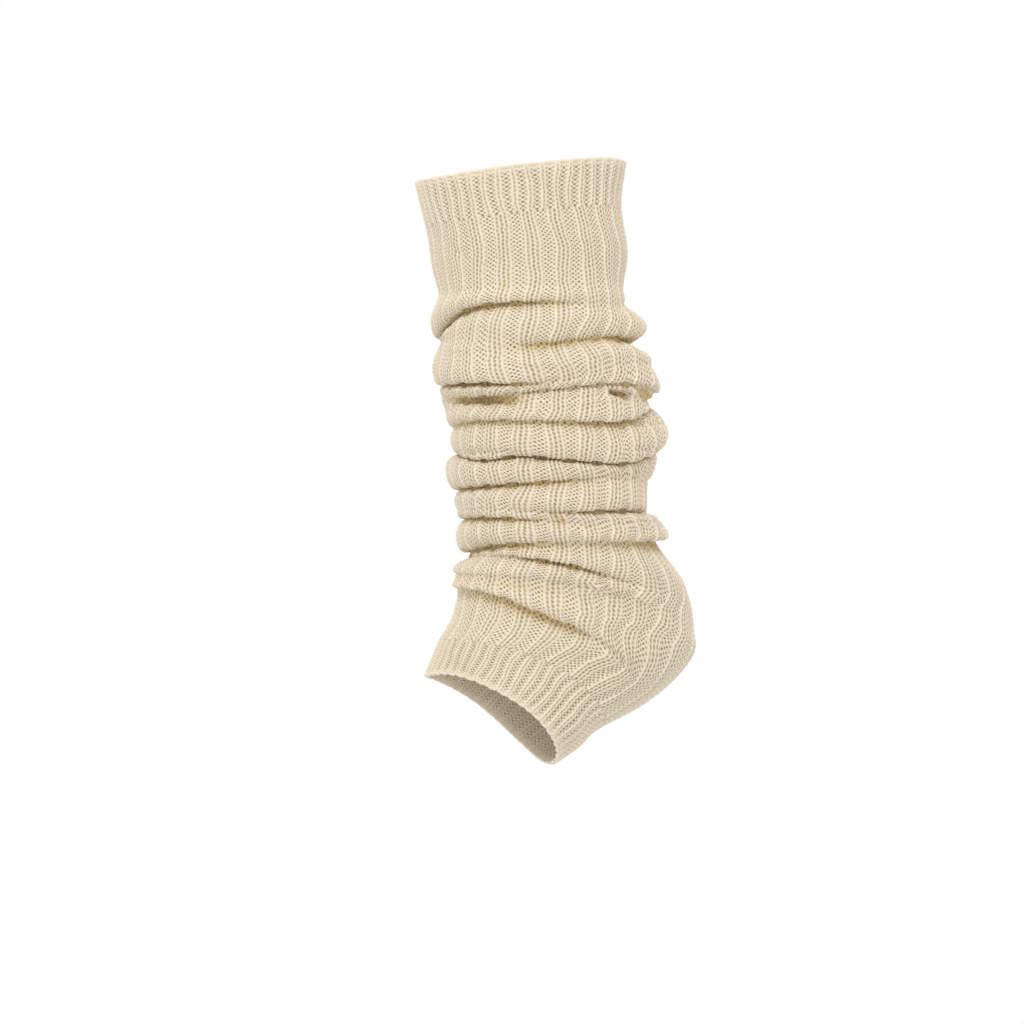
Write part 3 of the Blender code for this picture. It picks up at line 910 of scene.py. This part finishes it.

# %% [markdown]
# Cream yarn, with painted shade
#
# The yarn is a matte undyed cream, a little warmer in some spots than in others. Light that gets in
# between the cords comes back olive, so olive shade is painted into their flanks, the holes and the
# creases.
# Round the shank the cloth is stretched, and the shade painted in its holes is browner.

# %% Colours of the yarn and of its painted shade
# the yarn's own cream, warmer in some spots
YARN = (0.80, 0.705, 0.585, 1)
WARM_YARN = (0.78, 0.68, 0.54, 1)
# painted shade on the flanks of the knit cords and in the troughs of the purl ripples
FLANK_SHADE = (0.66, 0.57, 0.37, 1)
# painted shade in the creases, browner in the deepest ones
SHADE = (0.70, 0.605, 0.39, 1)
DEEP_SHADE = (0.60, 0.46, 0.20, 1)
# painted shade seen through the holes, browner where the cloth is stretched or creased
HOLE_SHADE = (0.33, 0.275, 0.10, 1)
DEEP_HOLE_SHADE = (0.32, 0.19, 0.06, 1)
print("yarn in the open:", YARN[:3], "and in a hole:", HOLE_SHADE[:3])

# %% [markdown]
# The lattice in the material
#
# The material finds its holes by the same lattice that shaped the cloth. It comes from the map named
# knit, whose u counts wales and whose v counts rows. A sine of the row then comes back once a row, and
# the remainder of the wale once a wale.


# %% Where a place lies in the rib
def lattice(start):
    """The wale and the row of a place."""
    place = start.node("ShaderNodeUVMap", uv_map="knit")
    wale = start.node("ShaderNodeSeparateXYZ", [place]) * (WALES + INSIDE_SHIFT)
    row = start.node("ShaderNodeSeparateXYZ", [place], output=1) * ALL_ROWS
    return wale, row


def knit_share(wale, repeat):
    """1 on knit wales and 0 on purl ones, as is_knit gives for the shape."""
    middle, half = KNIT_PARTS[repeat]
    return (half - abs((wale % repeat) - middle)).between(-EDGE_SOFTNESS, EDGE_SOFTNESS)


print("the knit part of a rib, middle and half width:", KNIT_PARTS)

# %% Holes between the cords
IN_WALE = (0.24, 0.06)  # from and to where a knit hole shows beside the middle of its wale
IN_GAP = (0.22, 0.05)  # the same beside the gap between two knit wales
IN_CUFF_PURL = (0.72, 0.28)


def knit_hole(wale, row, repeat):
    """The holes between the cords of a knit wale, and in the leg those between two knit wales."""
    small = abs((wale % 1) - 0.5).between(*IN_WALE) * ((row + 0.25).wave() * 0.3 + 0.55)
    if repeat == LEG_RIB:
        gap = abs((wale % LEG_RIB) - 1).between(*IN_GAP) * ((row + 0.75).wave() * 0.3 + 0.6)
    else:
        gap = small * -0.2
    return (small * 0.85 + gap).maths("MINIMUM", 1)


def purl_hole(wale, row, repeat):
    """The holes above and below a purl ripple. The ripples of the cuffs are turned over."""
    check = ((wale % 1) + 0.25).wave() * row.wave()
    if repeat == LEG_RIB:
        return (check * -1).between(0.15, 0.65)
    return check.between(-0.1, 0.5) * abs((wale % 1) - 0.5).between(*IN_CUFF_PURL)


print("knit holes fade out", IN_WALE[0], "of a wale from its middle")

# %% [markdown]
# One layer of colour over another
#
# Colours can't go through Math nodes, which would turn them grey, so each layer is a Mix node whose
# factor is a mask made of numbers. The first layer is the uneven cream. The shade painted on the flanks,
# in the creases and in the holes comes over it in turn.

# %% Layers of colour
SHANK_LEVEL = -0.15  # metres
STRETCHED = (0.07, 0.03)  # from and to where the cloth is stretched, above and below that level
# how far the painted shade in the holes turns browner where the cloth is stretched
BROWNER = 0.65


def mixed(factor, first, second):
    """One colour over another, by a factor from 0 to 1."""
    colours = {"Factor": factor, 6: first, 7: second}
    return factor.node("ShaderNodeMix", colours, output=2, data_type="RGBA")


def hole_shade_colour(start, crease):
    """Painted shade in the holes: olive, and browner in creases and where the cloth is stretched."""
    place = start.node("ShaderNodeTexCoord", output=3)
    level = start.node("ShaderNodeSeparateXYZ", [place], output=2)
    stretched = abs(level - SHANK_LEVEL).between(*STRETCHED)
    return mixed((stretched * BROWNER).maths("MAXIMUM", crease), HOLE_SHADE, DEEP_HOLE_SHADE)


def yarn_colour(start, flank_shade_mask, hole):
    """Cream, with painted shade on the flanks, in the creases and in the holes. Spots of noise weaken the
    shade on flanks and holes.
    """
    noise = start.node("ShaderNodeTexNoise", {"Scale": 55.0, "Detail": 3.0})
    clarity = noise.between(0.35, 0.6) * 0.3 + 0.7
    crease = start.node("ShaderNodeAttribute", output=2, attribute_name="crease")
    cream = mixed(noise.between(0.3, 0.7), WARM_YARN, YARN)
    # painted shade on the flanks of the cords and in the troughs of the ripples
    flank_shaded = mixed(flank_shade_mask * clarity, cream, FLANK_SHADE)
    # painted shade in the creases, browner in the deepest
    shade = mixed(crease.between(0.6, 1), SHADE, DEEP_SHADE)
    shaded = mixed(crease.between(0.15, 0.9) * 0.75, flank_shaded, shade)
    return mixed(hole * clarity, shaded, hole_shade_colour(start, crease))


print("the cloth is most stretched", -1000 * SHANK_LEVEL, "mm down")

# %% [markdown]
# The whole yarn
#
# The holes also sink in the bump, and so do fine diagonal lines, which are the twist of the yarn, and a
# finer noise for its fuzz. The cuffs repeat every second wale and the leg every fourth, so there are two
# materials.

# %% Yarn material
TWIST = (5, 6)  # lines of the twist to a row and to a wale
BUMP = {"Distance": 0.0003, "Strength": 0.6}
FINISH = {"Roughness": 0.9, "Specular IOR Level": 0.2, "Sheen Weight": 0.12, "Sheen Roughness": 0.6}


def yarn_relief(start, wale, row, hole):
    """The height of the yarn's surface: holes low, then twist and fuzz."""
    fuzz = start.node("ShaderNodeTexNoise", {"Scale": 2600.0, "Detail": 2.0})
    twist = (row * TWIST[0] + abs((wale % 1) - 0.5) * TWIST[1]).wave()
    return hole * -1 + twist * 0.06 + fuzz * 0.25


def knitted_yarn(name, repeat):
    material = bpy.data.materials.new(name)
    material.use_nodes = True
    tree = material.node_tree
    shader = tree.nodes["Principled BSDF"]
    start = Wire(tree.nodes["Material Output"].inputs[0])
    wale, row = lattice(start)
    knit = knit_share(wale, repeat)
    from_edge = (ALL_ROWS - row).maths("MINIMUM", row)
    # the holes get painted shade in the colour, and sink in the bump
    hole = knit * knit_hole(wale, row, repeat) + (1 - knit) * purl_hole(wale, row, repeat)
    hole = hole * from_edge.between(0.3, 2)
    # painted shade on the flanks of the knit cords and in the troughs of the purl ripples
    flank = (1 - abs((wale % 1).wave())).between(0.1, 1)
    ripple = row - ((wale % 1) + 0.25).wave() * from_edge.between(*FLAT_EDGE) * SWINGS[repeat]
    trough = ((ripple + 0.25).wave() * -0.5 + 0.5).between(0.3, 1)
    flank_shade_mask = knit * flank * 0.45 + (1 - knit) * trough * 0.55
    colour = yarn_colour(start, flank_shade_mask, hole)
    tree.links.new(colour.socket, shader.inputs["Base Color"])
    bump = start.node("ShaderNodeBump", {"Height": yarn_relief(start, wale, row, hole), **BUMP})
    tree.links.new(bump.socket, shader.inputs["Normal"])
    for key, value in FINISH.items():
        shader.inputs[key].default_value = value
    print(name, "has", len(tree.nodes), "nodes")
    return material


leg_yarn = knitted_yarn("cream_yarn_leg", LEG_RIB)
cuff_yarn = knitted_yarn("cream_yarn_cuff", CUFF_RIB)

# %% [markdown]
# Knit the pieces
#
# The tube could be one mesh, but a part of this size is easier to handle in bands. The two cuffs take the
# place of their plain solids, and five bands of the same height together take the place of the leg. Each
# prints the flat size that a maker would knit, which the folds gather.

# %% Knit the pieces
WALE_WIDTH = 3.9 * MM
LEG_ROW_HEIGHT = 2.4 * MM
CUFF_ROW_HEIGHT = 2.0 * MM
LEG_PARTS = ("leg_calf", "leg_upper_folds", "leg_shank", "leg_ankle", "leg_heel")


def finish_piece(name, first_row, last_row, node, yarn, row_height):
    piece = wrap(name, first_row, last_row)
    piece.data.materials.append(yarn)
    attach(piece, "root")
    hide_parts(node)
    flat = (WALES * WALE_WIDTH, (last_row - first_row) * row_height)
    print(f"{name}: {flat[0] * 1000:.0f} x {flat[1] * 1000:.0f} mm flat")


finish_piece("cuff_top_knit", 0, ROWS["cuff_top"], "cuff_top", cuff_yarn, CUFF_ROW_HEIGHT)
part_rows = np.linspace(FIRST_ROW["leg"], FIRST_ROW["cuff_bottom"], len(LEG_PARTS) + 1).astype(int)
for name, first_row, last_row in zip(LEG_PARTS, part_rows, part_rows[1:]):
    finish_piece(name, first_row, last_row, "leg", leg_yarn, LEG_ROW_HEIGHT)
last_cuff = ("cuff_bottom_knit", FIRST_ROW["cuff_bottom"], ALL_ROWS, "cuff_bottom")
finish_piece(*last_cuff, cuff_yarn, CUFF_ROW_HEIGHT)

# %% [markdown]
# Camera
#
# The picture was taken level, from far off, a little in front of the inner side. A long lens keeps the
# sides of the tube straight.

# %% Camera
AZIMUTH = math.radians(-20)
DISTANCE = 2.4
LENS = 162.3
AIM = (-0.00468, -0.17732)  # sideways and up from the origin
sideways = Vector((math.cos(AZIMUTH), math.sin(AZIMUTH), 0))
backwards = Vector((math.sin(AZIMUTH), -math.cos(AZIMUTH), 0))
lens = bpy.data.cameras.new("camera")
lens.lens = LENS
lens.clip_end = 20
camera = bpy.data.objects.new("camera", lens)
camera.location = sideways * AIM[0] + backwards * DISTANCE + Vector((0, 0, AIM[1]))
camera.rotation_euler = (math.radians(90), 0, AZIMUTH)
bpy.context.scene.collection.objects.link(camera)
bpy.context.scene.camera = camera
print("camera at", [round(x, 3) for x in camera.location])

# %% [markdown]
# Light
#
# The picture was taken in a white studio, with soft light from all round. A white world gives that, and
# one broad lamp in front, above and to the left brings out the relief of the stitches.

# %% Light
world = bpy.data.worlds.new("studio")
bpy.context.scene.world = world
world.use_nodes = True
world.node_tree.nodes["Background"].inputs["Color"].default_value = (1, 1, 1, 1)
world.node_tree.nodes["Background"].inputs["Strength"].default_value = 1.0
KEY_PLACE = (-0.9, -1.4, 1.3)
KEY_AIM = (0, 0, -0.15)
KEY_SIZE = 0.6  # metres across
KEY_POWER = 14  # watts


def soft_light(name, place, aim, size, power):
    """A round lamp that faces a point."""
    light = bpy.data.lights.new(name, "AREA")
    light.shape = "DISK"
    light.size = size
    light.energy = power
    lamp = bpy.data.objects.new(name, light)
    lamp.location = place
    lamp.rotation_euler = (Vector(aim) - Vector(place)).to_track_quat("-Z", "Y").to_euler()
    bpy.context.scene.collection.objects.link(lamp)


soft_light("key", KEY_PLACE, KEY_AIM, KEY_SIZE, KEY_POWER)
bpy.context.scene.view_settings.view_transform = "Standard"
print("lights:", [light.name for light in bpy.data.lights])
